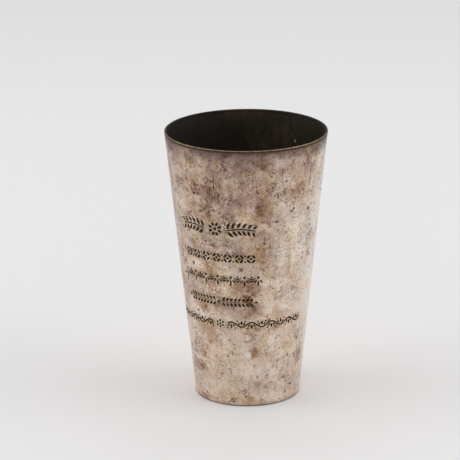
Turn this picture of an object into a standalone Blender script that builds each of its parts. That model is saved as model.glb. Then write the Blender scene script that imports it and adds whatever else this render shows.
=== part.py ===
"""A tapered nickel silver trophy cup, built up the way a metalware shop builds one.

A sheet is rolled into a cone and brazed along its back. A round topped wire is soldered round
the mouth, and a flat ring under the foot carries the wall and the base disc. Every piece is turned
about the Z axis, which is the cup's own axis. The front faces -Y and the seam faces +Y. The cup
stands with the middle of its foot at the origin. All lengths are in metres.
"""

import math

import bmesh
import bpy
from mathutils import Vector

# Driving dimensions of the whole cup.
OVERALL_HEIGHT = 0.1400
MOUTH_DIAMETER = 0.0832
FOOT_DIAMETER = 0.0540

# The sheet that the wall is rolled from, and the brazed strip that closes it.
WALL_THICKNESS = 0.0009
SEAM_WIDTH = 0.0006

# The wire round the mouth, and how far it stands proud of the sheet on each side.
MOUTH_WIRE_HEIGHT = 0.0010
MOUTH_WIRE_PROUD = 0.00015

# The ring under the foot, and the shelf inside the wall that it gives the base disc.
FOOT_RING_HEIGHT = 0.0012
FOOT_SHELF = 0.0024
FOOT_OUTER_ROUNDING = 0.0008
FOOT_INNER_ROUNDING = 0.0003

# The base disc.
BASE_THICKNESS = 0.0010
BASE_EDGE_CHAMFER = 0.0002

# Solder: the film between two edges, and the fillet in the inside corner.
SOLDER_FILM = 0.0003
SOLDER_RECESS = 0.0001
FILLET_LEG = 0.0012
FILLET_HOLLOW = 0.0003

# Clearance between the faces of any two pieces that meet.
JOINT_GAP = 0.0001

# The most of a piece's own size that its rounding or hollow may take away.
ROUNDING_LIMIT = 0.9

# Fineness of the turned shapes, and the angle in degrees from which an edge shows as sharp.
STEPS_AROUND = 96
STEPS_PER_ARC = 8
SHARP_ANGLE = 35

# Heights, from the table up.
BASE_BOTTOM = FOOT_RING_HEIGHT + JOINT_GAP
BASE_TOP = BASE_BOTTOM + BASE_THICKNESS
FOOT_FILM_BOTTOM = FOOT_RING_HEIGHT + JOINT_GAP
WALL_BOTTOM = FOOT_FILM_BOTTOM + SOLDER_FILM + JOINT_GAP
MOUTH_WIRE_BOTTOM = OVERALL_HEIGHT - MOUTH_WIRE_HEIGHT
WALL_TOP = MOUTH_WIRE_BOTTOM - JOINT_GAP - SOLDER_FILM - JOINT_GAP

# The wall leans out by this much for each metre of height.
TAPER = (MOUTH_DIAMETER - FOOT_DIAMETER) / 2 / OVERALL_HEIGHT
# The sheet's thickness measured along a radius.
WALL_ACROSS = WALL_THICKNESS * math.hypot(1.0, TAPER)

# Finishes: linear colour, metallic, roughness.
FINISHES = {
    "tarnished_silver_plate": ((0.42, 0.34, 0.28), 0.9, 0.42),
    "worn_nickel_silver": ((0.36, 0.31, 0.22), 1.0, 0.35),
    "tarnished_solder": ((0.10, 0.065, 0.035), 0.8, 0.55),
    "blackened_silver_plate": ((0.012, 0.010, 0.007), 0.6, 0.40),
}


def outer_radius(height):
    """Radius of the wall's outside, and of all that lies flush with it."""
    return FOOT_DIAMETER / 2 + TAPER * height


def inner_radius(height):
    """Radius of the wall's inside."""
    return outer_radius(height) - WALL_ACROSS


def arc(centre, radii, first, last):
    """Points of an elliptical arc in the (radius, height) plane, angles in degrees."""
    points = []
    for step in range(STEPS_PER_ARC + 1):
        angle = math.radians(first + (last - first) * step / STEPS_PER_ARC)
        points.append((centre[0] + radii[0] * math.cos(angle), centre[1] + radii[1] * math.sin(angle)))
    return points


def finish(name):
    """The material of one finish, made once."""
    if name in bpy.data.materials:
        return bpy.data.materials[name]
    colour, metallic, roughness = FINISHES[name]
    material = bpy.data.materials.new(name)
    material.use_nodes = True
    shader = material.node_tree.nodes["Principled BSDF"]
    shader.inputs["Base Color"].default_value = (*colour, 1.0)
    shader.inputs["Metallic"].default_value = metallic
    shader.inputs["Roughness"].default_value = roughness
    return material


def place(mesh_maker, name, material):
    """Turns a bmesh into a named object with faces that point out."""
    bmesh.ops.recalc_face_normals(mesh_maker, faces=mesh_maker.faces)
    mesh = bpy.data.meshes.new(name)
    mesh_maker.to_mesh(mesh)
    mesh_maker.free()
    mesh.shade_smooth()
    mesh.set_sharp_from_angle(angle=math.radians(SHARP_ANGLE))
    mesh.materials.append(finish(material))
    piece = bpy.data.objects.new(name, mesh)
    bpy.context.scene.collection.objects.link(piece)
    return piece


def turned_ring(name, outline, material):
    """A ring turned about Z from a closed outline of (radius, height) points."""
    maker = bmesh.new()
    corners = [maker.verts.new((radius, 0.0, height)) for radius, height in outline]
    for here, there in zip(corners, corners[1:] + corners[:1]):
        maker.edges.new((here, there))
    bmesh.ops.spin(
        maker,
        geom=maker.edges[:],
        cent=(0.0, 0.0, 0.0),
        axis=(0.0, 0.0, 1.0),
        angle=math.tau,
        steps=STEPS_AROUND,
        use_merge=True,
    )
    return place(maker, name, material)


def turned_disc(name, outline, material):
    """A disc whose edge follows (radius, height) points, bottom to top, with flat faces."""
    maker = bmesh.new()
    rings = []
    for radius, height in outline:
        made = bmesh.ops.create_circle(maker, cap_ends=False, segments=STEPS_AROUND, radius=radius)
        bmesh.ops.translate(maker, verts=made["verts"], vec=Vector((0.0, 0.0, height)))
        rings.append(made["verts"])
    for lower, upper in zip(rings, rings[1:]):
        edges = [edge for edge in maker.edges if all(v in lower for v in edge.verts)]
        edges += [edge for edge in maker.edges if all(v in upper for v in edge.verts)]
        bmesh.ops.bridge_loops(maker, edges=edges)
    maker.faces.new(rings[0])
    maker.faces.new(rings[-1])
    return place(maker, name, material)


def seam_section():
    """The four corners of the sheet's section, as (radius, height)."""
    return [
        (inner_radius(WALL_BOTTOM), WALL_BOTTOM),
        (outer_radius(WALL_BOTTOM), WALL_BOTTOM),
        (outer_radius(WALL_TOP), WALL_TOP),
        (inner_radius(WALL_TOP), WALL_TOP),
    ]


def slot_cutter():
    """The box that opens the rolled sheet along its back, from end to end."""
    width = SEAM_WIDTH + 2 * JOINT_GAP
    reach = MOUTH_DIAMETER
    bpy.ops.mesh.primitive_cube_add(size=1.0, location=(0.0, reach / 2, OVERALL_HEIGHT / 2))
    cutter = bpy.context.active_object
    cutter.name = "seam_slot_cutter"
    cutter.scale = (width, reach, OVERALL_HEIGHT)
    bpy.ops.object.transform_apply(location=False, rotation=False, scale=True)
    cutter.hide_render = True
    cutter.display_type = "WIRE"
    return cutter


def body_wall():
    """The rolled sheet: a cone open at both ends, and along the slot of its seam."""
    wall = turned_ring("body_wall", seam_section(), "tarnished_silver_plate")
    slot = wall.modifiers.new("seam_slot", "BOOLEAN")
    slot.operation = "DIFFERENCE"
    slot.object = slot_cutter()
    return wall


def side_seam():
    """The strip of braze that closes the wall at the back, as thick as the sheet."""
    maker = bmesh.new()
    half = SEAM_WIDTH / 2
    corners = [maker.verts.new((-half, radius, height)) for radius, height in seam_section()]
    face = maker.faces.new(corners)
    made = bmesh.ops.extrude_face_region(maker, geom=[face])
    moved = [item for item in made["geom"] if isinstance(item, bmesh.types.BMVert)]
    bmesh.ops.translate(maker, verts=moved, vec=Vector((SEAM_WIDTH, 0.0, 0.0)))
    return place(maker, "side_seam", "tarnished_solder")


def mouth_wire():
    """The lip: a wire with a flat underside and a round top, proud of the wall on both sides."""
    middle = (outer_radius(WALL_TOP) + inner_radius(WALL_TOP)) / 2
    half = WALL_ACROSS / 2 + MOUTH_WIRE_PROUD
    dome = min(half, ROUNDING_LIMIT * MOUTH_WIRE_HEIGHT)
    top = arc((middle, OVERALL_HEIGHT - dome), (half, dome), 0, 180)
    outline = [(middle - half, MOUTH_WIRE_BOTTOM), (middle + half, MOUTH_WIRE_BOTTOM)] + top
    return turned_ring("mouth_wire", outline, "worn_nickel_silver")


def mouth_solder():
    """The film between the wall's upper edge and the mouth wire, a little behind both."""
    bottom = WALL_TOP + JOINT_GAP
    top = bottom + SOLDER_FILM
    outline = [
        (inner_radius(WALL_TOP) + SOLDER_RECESS, bottom),
        (outer_radius(WALL_TOP) - SOLDER_RECESS, bottom),
        (outer_radius(WALL_TOP) - SOLDER_RECESS, top),
        (inner_radius(WALL_TOP) + SOLDER_RECESS, top),
    ]
    return turned_ring("mouth_solder", outline, "tarnished_solder")


def foot_ring():
    """The flat ring that the cup stands on, flush with the wall outside and rounded below."""
    outside = outer_radius(FOOT_RING_HEIGHT)
    inside = inner_radius(FOOT_RING_HEIGHT) - JOINT_GAP - FOOT_SHELF
    outer = min(FOOT_OUTER_ROUNDING, ROUNDING_LIMIT * FOOT_RING_HEIGHT)
    inner = min(FOOT_INNER_ROUNDING, ROUNDING_LIMIT * FOOT_RING_HEIGHT)
    outline = [(inside, FOOT_RING_HEIGHT)]
    outline += arc((inside + inner, inner), (inner, inner), 180, 270)
    outline += arc((outer_radius(outer) - outer, outer), (outer, outer), 270, 360)
    outline += [(outside, FOOT_RING_HEIGHT)]
    return turned_ring("foot_ring", outline, "worn_nickel_silver")


def foot_solder():
    """The film between the wall's lower edge and the foot ring."""
    top = FOOT_FILM_BOTTOM + SOLDER_FILM
    outline = [
        (inner_radius(FOOT_FILM_BOTTOM) + SOLDER_RECESS, FOOT_FILM_BOTTOM),
        (outer_radius(FOOT_FILM_BOTTOM) - SOLDER_RECESS, FOOT_FILM_BOTTOM),
        (outer_radius(FOOT_FILM_BOTTOM) - SOLDER_RECESS, top),
        (inner_radius(FOOT_FILM_BOTTOM) + SOLDER_RECESS, top),
    ]
    return turned_ring("foot_solder", outline, "tarnished_solder")


def base_disc():
    """The bottom of the cup, laid on the foot ring inside the wall."""
    edge = inner_radius(BASE_BOTTOM) - JOINT_GAP
    chamfer = BASE_EDGE_CHAMFER
    outline = [
        (edge - chamfer, BASE_BOTTOM),
        (edge, BASE_BOTTOM + chamfer),
        (edge, BASE_TOP - chamfer),
        (edge - chamfer, BASE_TOP),
    ]
    return turned_disc("base_disc", outline, "blackened_silver_plate")


def base_solder():
    """The hollow fillet of solder in the corner between the base disc and the wall."""
    bottom = BASE_TOP + JOINT_GAP
    top = bottom + FILLET_LEG
    corner = (inner_radius(bottom) - JOINT_GAP, bottom)
    upper = (inner_radius(top) - JOINT_GAP, top)
    toe = (corner[0] - FILLET_LEG, bottom)
    middle = (Vector(upper) + Vector(toe)) / 2
    inward = Vector(corner) - middle
    hollow = middle + inward.normalized() * min(FILLET_HOLLOW, ROUNDING_LIMIT * inward.length)
    return turned_ring("base_solder", [toe, corner, upper, tuple(hollow)], "tarnished_solder")


def clear_scene():
    """Removes whatever the scene holds, so that only the cup is left."""
    for piece in list(bpy.data.objects):
        bpy.data.objects.remove(piece)


def main():
    clear_scene()
    foot_ring()
    foot_solder()
    base_disc()
    base_solder()
    body_wall()
    side_seam()
    mouth_solder()
    mouth_wire()


main()
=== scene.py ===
"""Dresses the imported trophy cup: tarnished plate, a hand engraved front, worn lip and foot.

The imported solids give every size. Each one is replaced by a finer mesh in the same place, and
each finish is a procedural material. Lengths are in metres, unless a name or comment says mm.
"""
import math
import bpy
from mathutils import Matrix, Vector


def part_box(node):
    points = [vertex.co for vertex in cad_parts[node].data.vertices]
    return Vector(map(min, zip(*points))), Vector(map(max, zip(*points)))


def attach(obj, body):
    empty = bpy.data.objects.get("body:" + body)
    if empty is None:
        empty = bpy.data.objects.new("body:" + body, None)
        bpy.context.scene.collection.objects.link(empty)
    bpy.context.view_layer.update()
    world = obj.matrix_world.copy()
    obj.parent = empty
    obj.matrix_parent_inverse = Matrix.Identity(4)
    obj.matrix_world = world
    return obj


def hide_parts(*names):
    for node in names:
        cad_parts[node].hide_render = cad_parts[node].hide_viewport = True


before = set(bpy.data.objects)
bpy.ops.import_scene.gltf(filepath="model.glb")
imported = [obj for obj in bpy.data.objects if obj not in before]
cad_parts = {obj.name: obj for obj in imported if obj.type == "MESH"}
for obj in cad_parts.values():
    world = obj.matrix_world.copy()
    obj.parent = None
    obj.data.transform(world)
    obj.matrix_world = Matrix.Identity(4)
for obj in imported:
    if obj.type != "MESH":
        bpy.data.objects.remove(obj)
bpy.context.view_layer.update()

from types import SimpleNamespace

import bmesh
import bpy
from mathutils import Matrix, Vector

MM = 0.001
BODY = "root"


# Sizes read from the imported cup

def reach(name):
    """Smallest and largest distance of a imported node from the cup's axis."""
    spans = [math.hypot(corner.co.x, corner.co.y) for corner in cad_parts[name].data.vertices]
    return min(spans), max(spans)


def heights(name):
    """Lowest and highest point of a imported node."""
    low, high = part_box(name)
    return low.z, high.z


WALL_BOTTOM, WALL_TOP = heights("body_wall")
FOOT_TOP = heights("foot_ring")[1]
LIP_BOTTOM, LIP_TOP = heights("mouth_wire")
BASE_BOTTOM, BASE_TOP = heights("base_disc")
FILLET_TOP = heights("base_solder")[1]
SEAM_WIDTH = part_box("side_seam")[1].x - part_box("side_seam")[0].x
INNERMOST, OUTERMOST = reach("body_wall")
TAPER = (OUTERMOST - reach("foot_ring")[1]) / (WALL_TOP - FOOT_TOP)


def outer_radius(height):
    """Radius of the wall's outside."""
    return OUTERMOST - TAPER * (WALL_TOP - height)


WALL_ACROSS = outer_radius(WALL_BOTTOM) - INNERMOST


def inner_radius(height):
    """Radius of the wall's inside."""
    return outer_radius(height) - WALL_ACROSS


def around(angle, radius, height):
    """A point at an angle from the cup's front, which faces -Y, turning towards +X."""
    return Vector((radius * math.sin(angle), -radius * math.cos(angle), height))


# Fineness of the meshes, the gap left between two pieces that touch, and the angle, in degrees, from
# which an edge shows as sharp.
STEPS_AROUND = 288
WALL_ROWS = 92
LINING_ROWS = 30
SEAM_ROWS = 60
CONTACT = 0.01 * MM
SHARP_ANGLE = 22

# The sheet isn't true: it was rolled and trued up by hand, and it has been handled since. Each wave
# has its number of lobes round the cup, its length up the wall, and its start.
WAVE_DEPTH = 0.05 * MM
WAVES = [(3, 55 * MM, 0.4), (5, 34 * MM, 2.1), (8, 21 * MM, 4.0)]
WAVE_FADE = 4 * MM          # the waves die out this close to the sheet's edges


def unevenness(angle, height):
    """How far the sheet lies inside its true cone at an angle and height."""
    rise = 0.0
    for lobes, length, phase in WAVES:
        rise += 1.0 + math.sin(lobes * angle + phase) * math.cos(math.tau * height / length + phase)
    fade = min(1.0, (WALL_TOP - height) / WAVE_FADE, (height - WALL_BOTTOM) / WAVE_FADE)
    return WAVE_DEPTH * rise * max(fade, 0.0) / len(WAVES)


# Colour and shader helpers

def colour(code):
    """The linear colour of an sRGB hex code."""
    parts = [int(code[place:place + 2], 16) / 255 for place in (1, 3, 5)]
    linear = [part / 12.92 if part <= 0.04045 else ((part + 0.055) / 1.055) ** 2.4 for part in parts]
    return (*linear, 1.0)


def node(tree, kind, inputs=None, stops=(), **settings):
    """Adds a shader node with its settings and its inputs.

    Stops are the (position, hex colour) points of a colour ramp, with its two ends first.
    """
    made = tree.nodes.new("ShaderNode" + kind)
    for name, value in settings.items():
        setattr(made, name, value)
    for number, (position, code) in enumerate(stops):
        points = made.color_ramp.elements
        point = points[number] if number < 2 else points.new(position)
        point.position, point.color = position, colour(code)
    join(tree, made, inputs or {})
    return made


def join(tree, made, inputs):
    """Sets a node's inputs, which go by name or place.

    Each is a value, a socket, or another node, which is read at its first output in use.
    """
    for place, value in inputs.items():
        named = [socket for socket in made.inputs if socket.enabled and socket.name == place]
        socket = named[0] if named else made.inputs[place]
        if isinstance(value, bpy.types.Node):
            value = next(output for output in value.outputs if output.enabled)
        if isinstance(value, bpy.types.NodeSocket):
            tree.links.new(value, socket)
        else:
            socket.default_value = value


def material(name):
    """An empty material and its tree, with a shader that is joined to the output."""
    made = bpy.data.materials.new(name)
    made.use_nodes = True
    tree = made.node_tree
    return made, tree, tree.nodes["Principled BSDF"]


def maths(tree, operation, *values):
    """One step of arithmetic."""
    return node(tree, "Math", dict(enumerate(values)), operation=operation)


def vector_maths(tree, operation, *vectors):
    """One step of arithmetic with vectors."""
    return node(tree, "VectorMath", dict(enumerate(vectors)), operation=operation)


def noise_in(tree, place, width, detail, roughness=0.5):
    """A noise at a place, with shapes of about this width and finer ones within them."""
    return node(tree, "TexNoise", {
        "Vector": place, "Scale": 1 / width, "Detail": detail, "Roughness": roughness})


def scaled(tree, value, start=0.0, full=1.0, low=0.0, high=1.0, course="LINEAR"):
    """A value whose range from start to full becomes one from low to high, and which is held there."""
    return node(tree, "MapRange", {
        "Value": value, "From Min": start, "From Max": full, "To Min": low, "To Max": high,
    }, interpolation_type=course)


def eased(tree, value, start, full, low=0.0, high=1.0):
    """The same with soft ends."""
    return scaled(tree, value, start, full, low, high, "SMOOTHSTEP")


def weighed(tree, *pairs):
    """The sum of values, each times its share."""
    total = 0.0
    for value, share in pairs:
        total = maths(tree, "MULTIPLY_ADD", value, share, total)
    return total


def laid_over(tree, surface, layers):
    """A surface with hex colours laid over it in turn, each where its mask is, up to its share."""
    for mask, share, code in layers:
        cover = weighed(tree, (mask, share))
        surface = node(tree, "Mix", {"Factor": cover, "A": surface, "B": colour(code)}, data_type="RGBA")
    return surface


def in_mm(tree):
    """The place on the cup in mm."""
    place = node(tree, "TexCoord").outputs["Object"]
    return node(tree, "VectorMath", {0: place, "Scale": 1 / MM}, operation="SCALE")


# Materials

# The tarnish on the outside, as it has grown: angle from the front in degrees, height, half width and
# half height in mm, and strength. Each list is one kind of mark.
BROWN_STAINS = [
    (-14, 119, 7, 4.5, 0.8), (-17, 115, 2.5, 2.5, 0.9), (2, 117, 5, 7, 0.3), (-33, 119, 6, 4.5, 0.7),
    (-22, 110, 6, 5, 0.5), (-6, 104, 7, 5, 0.5), (-36, 106, 5, 7, 0.5), (-20, 91, 8, 4, 0.4),
    (36, 107, 6, 5.5, 0.9), (44, 119, 3.5, 3, 0.6), (57, 117, 5, 3.5, 0.8), (71, 118, 5.5, 3, 0.6),
    (64, 113, 2.5, 5, 0.5), (73, 130, 4, 6, 0.7), (41, 87, 4, 6, 0.5), (37, 95, 3.5, 4, 0.4),
    (-10, 77, 4, 3, 0.8), (27, 61, 5, 6, 1.2), (31, 54, 3, 5, 0.7), (54, 60, 6, 2, 0.5),
    (33, 32, 5.5, 8, 0.5), (52, 44, 18, 2.6, 0.5), (-26, 20, 6, 5, 0.6), (-21, 27, 3, 3, 0.9),
    (-10, 34, 5, 3, 0.5), (-33, 26, 5, 2, 0.5), (-38, 15, 6, 2, 0.6), (-30, 3, 7, 2.5, 0.5),
    (-24, 2, 6, 2.2, 0.5), (-12, 1.5, 4, 1.6, 0.5), (13, 3.5, 5.5, 2, 0.7), (50, 1.5, 5, 1.5, 0.6),
    (71, 1.5, 5, 1.5, 0.6), (8, 20, 2.5, 3.5, 0.5), (12, 14, 3, 2.5, 0.4), (27, 6, 6, 4, 0.5),
    (20, 15, 2, 3, 0.5), (46, 11, 2, 3.5, 0.6), (38, 13, 3, 2, 0.5), (78, 37, 4, 5, 0.5),
    (-44, 27, 6, 5, 0.5), (-30, 58, 6, 4, 0.6), (-42, 52, 5, 4, 0.3), (86, 82, 3, 6, 0.6),
    (88, 92, 3, 5, 0.4), (140, 112, 9, 12, 0.6), (165, 60, 8, 15, 0.5), (200, 96, 12, 9, 0.6),
    (215, 30, 10, 8, 0.5), (240, 118, 8, 8, 0.6), (255, 70, 9, 12, 0.5), (120, 30, 8, 9, 0.6),
    (110, 74, 6, 8, 0.4),
]
MAUVE_STAINS = [
    (24, 128, 15, 9, 0.9), (8, 131, 11, 6, 0.5), (-38, 129, 6, 6, 0.7), (-8, 109, 6, 5, 0.6),
    (3, 116, 6, 7.5, 0.5), (33, 114, 6, 5, 0.4), (32, 133, 15, 5, 0.8), (10, 116, 9, 7, 0.4),
    (12, 106, 8, 4, 0.3), (-12, 100, 9, 4, 0.4), (38, 76, 4, 4, 0.7), (-4, 94, 6, 4, 0.4),
    (-28, 83, 7, 3, 0.6), (28, 40, 4, 4.5, 0.8), (-8, 40, 8, 4, 0.35), (64, 14, 6, 5, 0.9),
    (52, 128, 7, 5, 0.4), (74, 128, 4, 7, 0.7), (-30, 45, 6, 3, 0.5), (70, 24, 7, 5, 0.3),
    (12, 3, 14, 2, 0.3), (-57, 126, 12, 24, 0.55), (-58, 66, 8, 40, 0.3), (-22, 132, 8, 4, 0.6),
    (-42, 134, 9, 5, 0.6), (80, 134, 12, 5, 1.0), (150, 128, 16, 9, 0.8), (190, 120, 9, 9, 0.6),
    (228, 84, 9, 9, 0.5), (270, 126, 14, 8, 0.8), (180, 22, 12, 8, 0.5), (130, 88, 7, 6, 0.5),
]
RUST_STAINS = [
    (-20, 121, 8, 4, 0.6), (40, 108, 7, 6, 0.9), (33, 104, 5, 3, 0.9), (63, 75, 2, 4.5, 1.2),
    (-9, 74, 3, 2, 0.9), (38, 82, 6, 7, 0.7), (35, 52, 4, 4, 0.7), (52, 51, 7, 3, 0.5), (35, 30, 5, 5, 0.6),
    (-28, 20, 6, 4, 0.5), (20, 80, 7, 3, 0.5), (60, 44, 10, 2, 0.5), (24, 105, 4, 6, 0.5),
    (2, 100, 6, 2, 0.5), (-40, 76, 5, 3, 0.4), (66, 115, 3, 7, 0.5), (45, 94, 3, 6, 0.4),
    (170, 84, 6, 9, 0.7), (210, 60, 7, 7, 0.6), (125, 120, 7, 6, 0.5), (250, 40, 7, 9, 0.5),
]
PALE_PATCHES = [
    (64, 98, 12, 11, 0.9), (72, 84, 10, 9, 0.8), (55, 68, 8, 9, 0.6), (62, 54, 8, 4, 0.6),
    (50, 34, 8, 7, 0.7), (26, 29, 2.4, 2.6, 0.8), (-6, 86, 10, 3, 0.6), (-6, 64, 14, 3.5, 1.0),
    (-26, 96, 7, 6, 0.8), (-22, 50, 8, 3, 0.8), (-20, 130, 9, 5, 0.8), (22, 96, 5, 5, 0.5),
    (-2, 106, 1.6, 2, 1.2), (26, 110, 5, 5, 0.5), (47, 132, 4, 3, 0.6), (62, 125, 7, 5, 0.6),
    (50, 108, 6, 6, 0.6), (8, 48, 5, 8, 0.4), (-32, 108, 7, 5, 0.5), (-30, 67, 9, 3, 0.5),
    (-14, 90, 6, 3, 0.6), (5, 12, 14, 8, 0.3), (60, 30, 9, 8, 0.4), (26, 38, 1.6, 1.2, 0.9),
    (150, 96, 9, 8, 0.6), (185, 74, 9, 8, 0.5), (232, 104, 8, 8, 0.6), (268, 92, 9, 9, 0.5),
    (160, 36, 12, 9, 0.5), (238, 20, 12, 9, 0.5),
]
# Grime that the polishing cloth has left along the engraved rows.
GRIMED_ROWS = [
    (-2, 97, 26, 9, 0.9), (0, 82, 24, 4.5, 1.2), (0, 70, 25, 4, 1.2), (0, 58, 24, 4, 1.0),
    (-10, 46, 30, 3.5, 0.9), (40, 46, 22, 3, 0.8),
]
# Wide areas where the film is thicker than elsewhere, and where it is thinner. In the second list the
# long bands near the right edge, as the camera sees the cup, are painted sheen: the white room's
# reflection at grazing angles.
DULLED = [
    (14, 57, 24, 15, 0.8), (0, 84, 20, 6, 0.5), (-5, 112, 8, 7, 0.6), (-14, 36, 12, 9, 0.5),
    (-28, 20, 9, 5, 0.5), (66, 124, 6, 4, 0.5), (38, 132, 7, 5, 0.5), (-18, 133, 6, 5, 0.5),
    (28, 66, 10, 7, 0.8), (-12, 60, 12, 8, 0.3), (8, 91, 14, 4.5, 0.6), (18, 85, 8, 5, 0.9),
    (-6, 108, 5, 4, 0.5), (-12, 45, 14, 5, 0.6), (-6, 69, 6, 4, 0.6), (-18, 53, 6, 4, 1.0),
    (88, 24, 7, 14, 0.8), (54, 52, 8, 4, 0.4), (40, 132, 6, 4, 0.5), (24, 51, 10, 4, 0.4),
    (-7, 117, 7, 6, 0.8), (-14, 41, 14, 6, 0.6), (30, 69, 8, 6, 0.5), (30, 43, 8, 4, 0.6),
    (31, 30, 6, 8, 0.6), (-42, 19, 8, 7, 0.9), (60, 128, 8, 8, 0.5), (-16, 14, 10, 8, 0.5),
    (-18, 132, 8, 6, 0.6), (30, 55, 8, 8, 0.5), (56, 48, 10, 6, 0.5), (-29, 60, 7, 5, 0.5),
    (18, 68, 7, 5, 0.5), (30, 4, 7, 5, 0.9), (92, 24, 7, 9, 0.5), (18, 132, 7, 5, 0.4),
    (18, 124, 7, 5, 0.6), (-18, 116, 6, 5, 0.6), (-6, 36, 7, 5, 0.45), (78, 12, 7, 5, 0.6),
    (170, 70, 24, 18, 0.5), (240, 40, 24, 16, 0.4),
]
# Where the film is thinner, and a painted edge sheen along the right edge.
THINNED_AND_EDGE_SHEEN = [
    (88, 92, 24, 30, 0.9), (56, 12, 20, 14, 0.65), (24, 104, 9, 7, 0.8), (-18, 101, 6, 4, 0.9),
    (10, 28, 8, 6, 0.4), (70, 33, 10, 8, 0.5), (84, 66, 12, 10, 0.4), (66, 133, 5, 4, 0.9),
    (64, 80, 13, 16, 0.75), (52, 88, 6, 12, 0.5), (43, 68, 6, 5, 0.9), (52, 5, 16, 5, 0.6),
    (18, 101, 8, 5, 0.9), (-18, 77, 5, 4, 0.7), (104, 70, 17, 95, 1.3), (60, 110, 9, 6, 0.8),
    (90, 116, 8, 20, 0.8), (-18, 92, 6, 4, 0.5), (78, 52, 5, 4, 0.7), (72, 26, 10, 5, 0.5),
    (26, 20, 16, 6, 0.6), (6, 66, 6, 8, 0.5), (54, 104, 9, 7, 0.5), (40, 4, 22, 5, 0.5),
    (-42, 52, 6, 4, 0.5), (40, 76, 6, 12, 0.4), (-36, 107, 10, 8, 0.7), (-19, 99, 8, 5, 0.6),
    (24, 108, 10, 5, 0.6), (-18, 76, 7, 5, 0.7), (46, 92, 8, 5, 0.5), (72, 28, 9, 6, 0.5),
    (66, 3, 12, 4, 0.8), (66, 77, 7, 5, 0.6), (6, 60, 6, 4, 0.6), (5, 28, 6, 5, 0.5), (6, 3, 8, 4, 0.5),
    (90, 124, 7, 8, 0.6), (0, 76, 16, 3.5, 0.4), (-28, 76, 8, 6, 0.8), (-42, 68, 6, 6, 0.6),
    (-38, 124, 9, 6, 0.7), (56, 80, 7, 8, 0.4), (54, 36, 8, 5, 0.5), (-18, 4, 7, 4, 0.6),
    (54, 20, 7, 5, 0.5), (200, 30, 20, 14, 0.4), (150, 110, 20, 14, 0.4),
]
DARK_SPECKS = [
    (61.6, 105.9, 1.1, 0.7, 1.4), (63.8, 107, 1.1, 0.7, 1.4), (49.5, 114.5, 0.6, 1.2, 1.1),
    (44.5, 120, 0.8, 0.9, 0.9), (30, 124, 0.7, 1, 0.7), (76.5, 9, 1.2, 1, 1.3), (9, 18.5, 0.9, 0.8, 0.4),
    (6, 28, 0.8, 0.8, 1.0), (8, 37, 0.8, 0.7, 0.8), (-25, 50.5, 1.4, 0.6, 1.2), (-17, 115, 1.4, 1.1, 0.8),
    (7, 21, 0.7, 0.7, 0.7), (49, 101.5, 1.6, 0.8, 0.7), (58, 95, 1.3, 0.6, 0.7), (54, 117, 0.9, 0.8, 0.9),
    (7, 129, 0.7, 0.7, 0.7), (27, 117, 0.7, 0.7, 0.7), (0, 33.5, 1, 0.5, 0.6), (47, 19.5, 0.8, 0.6, 0.5),
    (-24, 18, 1.1, 0.5, 0.6), (86, 80, 0.9, 1.2, 0.8), (40, 90, 1.6, 0.8, 0.7), (72, 116, 2, 0.7, 0.7),
    (-31, 118, 1.6, 0.6, 0.7), (48, 65, 0.9, 0.7, 0.6), (170, 104, 0.9, 0.8, 0.9), (204, 46, 1.2, 0.6, 1.0),
    (146, 72, 0.8, 1, 0.8), (236, 66, 1, 0.8, 0.9),
]
# Where the plate is painted whiter, with less warmth in its film: mostly along its left and right edges
# as the camera sees them, a painted reflection of the white room at grazing angles.
GRAZING_REFLECTION_PALING = [
    (104, 72, 20, 110, 1.1), (68, 78, 18, 30, 0.4), (-60, 95, 16, 75, 1.3), (200, 60, 20, 60, 0.5),
]
# Where small specks are thickest.
SWARMING = [
    (82, 86, 9, 10, 1.0), (77, 108, 8, 8, 0.7), (-24, 33, 9, 6, 0.7), (2, 112, 10, 8, 0.6),
    (64, 60, 8, 5, 0.5), (60, 78, 18, 30, 0.6), (175, 100, 14, 10, 0.7),
]
# Where a cloth has dragged the film into upright lines, and drips that dried where they ran.
STREAKED = [
    (-2, 116, 7, 12, 1.4), (16, 118, 6, 9, 0.6), (38, 86, 4, 10, 0.6), (80, 124, 10, 12, 0.8),
    (200, 110, 14, 18, 0.8),
]
DRIPS = [
    (-4.2, 119, 0.5, 6, 0.7), (-2.4, 118, 0.5, 8.5, 1.0), (-0.8, 117, 0.45, 6.5, 0.8),
    (1, 119, 0.5, 7, 0.8), (3, 121, 0.45, 4, 0.6), (15, 117, 0.5, 5, 0.7), (52, 127, 0.5, 4, 0.7),
    (205, 122, 0.6, 8, 1.0),
]
# Chips down to the plate, and where the film has crazed.
BARE_CHIPS = [
    (26, 29, 2, 2.4, 1.5), (25, 40, 1.1, 0.9, 0.7), (-19, 37, 1.6, 1.3, 0.9), (-25, 52, 1.8, 0.8, 0.7),
    (-2, 106, 1.8, 2, 0.6), (13, 65, 2.4, 0.9, 0.35), (4, 66, 1.6, 1, 0.4), (20, 61, 2, 0.8, 0.3),
    (-28, 50, 2.2, 1.4, 0.7), (64, 97, 3, 1.6, 0.6), (78, 88, 2, 3, 0.6), (-12, 90, 2.4, 0.9, 0.6),
    (160, 70, 2.2, 1.4, 0.9), (214, 92, 1.6, 2, 0.8), (140, 30, 2, 1.2, 0.8),
]
CRAZED = [
    (-4, 64, 18, 4.5, 1.1), (-10, 89, 14, 5, 1.0), (12, 100, 9, 7, 1.0), (-6, 77, 20, 4, 0.8),
    (4, 105, 18, 4, 0.6), (50, 33, 9, 6, 0.8), (-26, 31, 8, 6, 0.9), (-24, 100, 9, 8, 0.8),
    (150, 50, 12, 9, 0.8), (230, 100, 12, 9, 0.8),
]


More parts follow.
